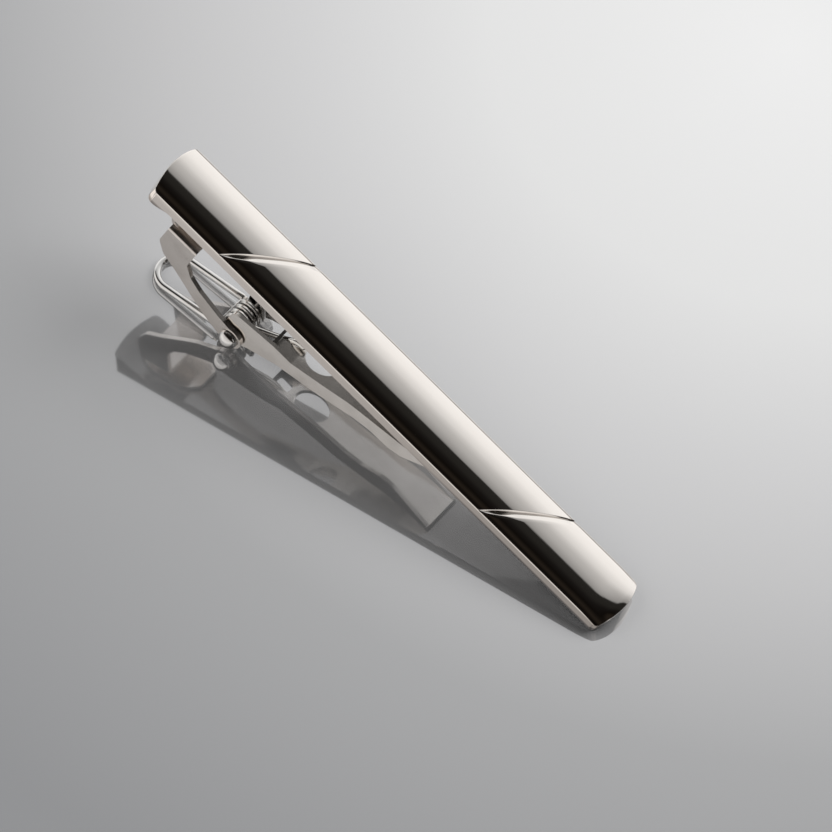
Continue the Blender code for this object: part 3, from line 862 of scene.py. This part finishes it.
@dataclass
class TorsionSpring:
    """The spring: a coil round the pin, one leg hooked through the jaw and one short leg."""

    home: BarFrame
    wire: float = 0.3
    coil: float = 1.15
    centre_x: float = 13.86
    near_y: float = -1.45
    pitch: float = 0.66
    turns: float = 3.75
    start: float = math.radians(113.7)
    steps: int = 240

    def build(self) -> bpy.types.Object:
        """Carry the wire along the hook, the helix and the short leg.

        Returns:
            The new piece.
        """
        angle = self.start + np.linspace(0.0, 2 * math.pi * self.turns, self.steps)
        rise = np.linspace(0.0, self.pitch * self.turns, self.steps)
        helix = np.stack(
            [
                self.centre_x + self.coil * np.cos(angle),
                self.near_y + rise,
                self.home.pivot_z + self.coil * np.sin(angle),
            ],
            -1,
        )
        hook = np.array(
            [
                (19.75, -0.32, -6.62),
                (19.2, -0.32, -6.66),
                (18.75, -0.35, -6.95),
                (18.15, -0.42, -7.62),
                (17.4, -0.6, -8.12),
                (16.0, -0.98, -8.73),
                (14.9, -1.28, -9.22),
                tuple(helix[0]),
            ]
        )
        way = helix[-1] - helix[-2]
        way[1] = 0.0
        way /= np.linalg.norm(way)
        leg = helix[-1] + way * np.array([[0.9], [1.8], [2.6]])
        path = np.concatenate([smooth_path(hook, 8)[:-1], helix, leg])
        points, faces = round_wire(path, self.wire, 20)
        return mesh_piece("spring_wire", self.home.world(points), faces, 50.0)


# ---------------------------------------------------------------- bent sheet


@dataclass
class BentSheet:
    """A sheet part taken over from the frame, with its cut edges eased."""

    node: str
    ease: float = 0.055
    sharp: float = math.radians(38.0)

    def build(self) -> bpy.types.Object:
        """Merge a copy of the node's mesh, dissolve its flat triangles and bevel its edges.

        Returns:
            The new piece.
        """
        source = bpy.data.objects[self.node]
        mesh = source.data.copy()
        mesh.name = f"{self.node}_eased"
        tool = bmesh.new()
        tool.from_mesh(mesh)
        bmesh.ops.remove_doubles(tool, verts=tool.verts, dist=2e-7)
        bmesh.ops.dissolve_limit(
            tool, angle_limit=math.radians(1.0), verts=tool.verts, edges=tool.edges, use_dissolve_boundaries=False
        )
        tool.to_mesh(mesh)
        tool.free()
        mesh.shade_smooth()
        mesh.set_sharp_from_angle(angle=self.sharp)
        piece = bpy.data.objects.new(f"{self.node}_eased", mesh)
        bpy.context.scene.collection.objects.link(piece)
        bevel = piece.modifiers.new("eased_edges", "BEVEL")
        bevel.width = self.ease * MM
        bevel.segments = 2
        bevel.limit_method = "ANGLE"
        bevel.angle_limit = self.sharp
        bevel.use_clamp_overlap = True
        return piece


# ---------------------------------------------------------------- studio


@dataclass
class Studio:
    """The table, the surroundings that the metal mirrors, and the camera."""

    home: BarFrame
    table_half: float = 1.5
    table_drop: float = 2e-5
    table_metallic: float = 0.8
    table_roughness: float = 0.05
    light_pool_centre: tuple[float, float, float] = (0.0014, 0.060, 0.0)
    fade_over: float = 0.12
    length_lift: float = 45.0
    view_elevation: float = math.radians(62.0)
    roll: float = math.radians(44.56)
    distance: float = 900.0
    span: float = 76.05
    aim: tuple[float, float, float] = (31.52, -0.972, 0.5)

    def build_floor(self) -> None:
        """A wide glossy table top with a painted pool of light: brightest at one place and darker away from it."""
        mesh = bpy.data.meshes.new("table")
        side = self.table_half
        corners = [(-side, -side), (side, -side), (side, side), (-side, side)]
        mesh.from_pydata([(x, y, -self.table_drop) for x, y in corners], [], [(0, 1, 2, 3)])
        table = bpy.data.objects.new("table", mesh)
        bpy.context.scene.collection.objects.link(table)
        material = bpy.data.materials.new("table_top")
        material.use_nodes = True
        kit = NodeKit(material.node_tree)
        shader = material.node_tree.nodes["Principled BSDF"]
        place = kit.node("ShaderNodeTexCoord", {}, {}, "Object")
        settings = {"operation": "DISTANCE"}
        away = kit.node("ShaderNodeVectorMath", settings, {0: place, 1: self.light_pool_centre}, "Value")
        share = away / self.fade_over
        # Painted pool of light: white at its centre, greyer away from it.
        stops = [
            (0.0, (1.0, 1.0, 1.0)),
            (0.24, (0.92, 0.92, 0.92)),
            (0.38, (0.78, 0.78, 0.785)),
            (0.49, (0.68, 0.68, 0.685)),
            (0.65, (0.51, 0.513, 0.52)),
            (0.92, (0.395, 0.40, 0.41)),
        ]
        colour = kit.node("ShaderNodeValToRGB", {"stops": stops}, {0: share}, "Color")
        material.node_tree.links.new(colour.socket, shader.inputs["Base Color"])
        shader.inputs["Metallic"].default_value = self.table_metallic
        shader.inputs["Roughness"].default_value = self.table_roughness
        mesh.materials.append(material)

    def build_surroundings(self) -> None:
        """A studio all round: a broad light wall beyond the clip, and a dark strip above it.

        The tone depends on the angle about the bar's length between a direction and the bar's face normal,
        counted towards the near side. Directions that run along the bar count further round, up to the strip.
        """
        world = bpy.data.worlds.new("studio")
        bpy.context.scene.world = world
        world.use_nodes = True
        tree = world.node_tree
        tree.nodes.clear()
        kit = NodeKit(tree)
        way = kit.node("ShaderNodeTexCoord", {}, {}, "Generated")
        normal = self.home.turn @ np.array([0.0, 0.0, 1.0])
        length = self.home.turn @ np.array([1.0, 0.0, 0.0])
        up = kit.dot(way, tuple(normal))
        along = kit.dot(way, tuple(length))
        about = (0.0 - kit.parts(way)[1]).atan2(up) * (180.0 / math.pi)
        lifted = along.ramp(0.05, 0.75) * self.length_lift
        angle = about + lifted * (1.0 - about.ramp(0.0, 25.0))
        share = (angle + 180.0) / 360.0
        stops = [
            (0.0, (0.50, 0.50, 0.50)),
            (self._stop(-84), (0.96, 0.96, 0.96)),
            (self._stop(-62), (0.90, 0.90, 0.90)),
            (self._stop(-41), (0.70, 0.70, 0.70)),
            (self._stop(-28), (0.465, 0.465, 0.465)),
            (self._stop(-15), (0.31, 0.31, 0.31)),
            (self._stop(-11.0), (0.26, 0.26, 0.26)),
            (self._stop(-8.6), (0.019, 0.0185, 0.017)),
            (self._stop(4), (0.0165, 0.0155, 0.014)),
            (self._stop(12), (0.0085, 0.0075, 0.007)),
            (self._stop(21), (0.0045, 0.0036, 0.003)),
            (self._stop(28), (0.016, 0.0125, 0.0095)),
            (self._stop(37), (0.014, 0.0095, 0.0065)),
            (self._stop(44), (0.62, 0.60, 0.585)),
            (self._stop(100), (0.95, 0.93, 0.91)),
            (1.0, (0.50, 0.50, 0.50)),
        ]
        tone = kit.node("ShaderNodeValToRGB", {"stops": stops}, {0: share}, "Color")
        light = kit.node("ShaderNodeBackground", {}, {"Color": tone, "Strength": 1.0})
        output = tree.nodes.new("ShaderNodeOutputWorld")
        tree.links.new(light.socket, output.inputs["Surface"])

    @staticmethod
    def _stop(degrees: float) -> float:
        """An angle's place on the ramp."""
        return (degrees + 180.0) / 360.0

    def build_lamps(self) -> None:
        """Two broad soft lamps that the metal doesn't mirror."""
        for name, place, size, power in (
            ("soft_key", (0.25, 0.45, 0.6), 0.5, 10.8),
            ("soft_fill", (-0.5, -0.3, 0.6), 0.6, 4.3),
        ):
            data = bpy.data.lights.new(name, "AREA")
            data.energy = power
            data.size = size
            lamp = bpy.data.objects.new(name, data)
            lamp.location = place
            lamp.rotation_euler = (-Vector(place)).to_track_quat("-Z", "Y").to_euler()
            lamp.visible_glossy = False
            bpy.context.scene.collection.objects.link(lamp)

    def build_camera(self) -> None:
        """A long lens square to the bar's length, rolled so that the bar runs down to the right."""
        towards = np.array([0.0, -math.cos(self.view_elevation), math.sin(self.view_elevation)])
        down = np.array([0.0, -math.sin(self.view_elevation), -math.cos(self.view_elevation)])
        along = np.array([1.0, 0.0, 0.0])
        right = math.cos(self.roll) * along - math.sin(self.roll) * down
        up = -(math.sin(self.roll) * along + math.cos(self.roll) * down)
        axes = (self.home.turn @ np.stack([right, up, towards], -1)).tolist()
        place = self.home.world(np.array(self.aim)) + self.home.turn @ towards * self.distance * MM
        data = bpy.data.cameras.new("camera")
        data.lens = 36.0 * self.distance / self.span
        data.sensor_width = 36.0
        data.clip_start = 0.01
        data.clip_end = 10.0
        camera = bpy.data.objects.new("camera", data)
        camera.matrix_world = Matrix.Translation(place) @ Matrix(axes).to_4x4()
        bpy.context.scene.collection.objects.link(camera)
        bpy.context.scene.camera = camera

    def build(self) -> None:
        """Set up the whole studio."""
        self.build_floor()
        self.build_surroundings()
        self.build_lamps()
        self.build_camera()
        bpy.context.scene.view_settings.view_transform = "Standard"


# ---------------------------------------------------------------- assembly


@dataclass
class TieClip:
    """The whole clip."""

    home: BarFrame = field(default_factory=BarFrame)

    def build(self) -> None:
        """Build and dress every piece."""
        home = self.home
        finish_piece(DomedBar(home).build(), BAR_PLATE.build(home), Body.FRAME, ("bar",))
        nickel = BRACKET_NICKEL.build(home)
        finish_piece(BentSheet("clip_bracket").build(), nickel, Body.FRAME, ("clip_bracket",))
        wire = WIRE_NICKEL.build(home)
        finish_piece(PivotPin(home).build(), wire, Body.FRAME, ("pivot_pin",))
        finish_piece(BentSheet("jaw", 0.08).build(), JAW_NICKEL.build(home), Body.LEVER, ("jaw",))
        loop = HandleLoop(home)
        finish_piece(loop.build(), wire, Body.LEVER, ("handle_loop",))
        finish_piece(loop.build_plate(), wire, Body.LEVER, ("handle_loop",))
        finish_piece(TorsionSpring(home).build(), SPRING_STEEL.build(home), Body.LEVER, ("spring",))


def main() -> None:
    """Build the clip and its studio."""
    logging.basicConfig(level=logging.INFO, format="%(name)s %(message)s")
    clip = TieClip()
    clip.build()
    Studio(clip.home).build()


if __name__ == "__main__":
    main()
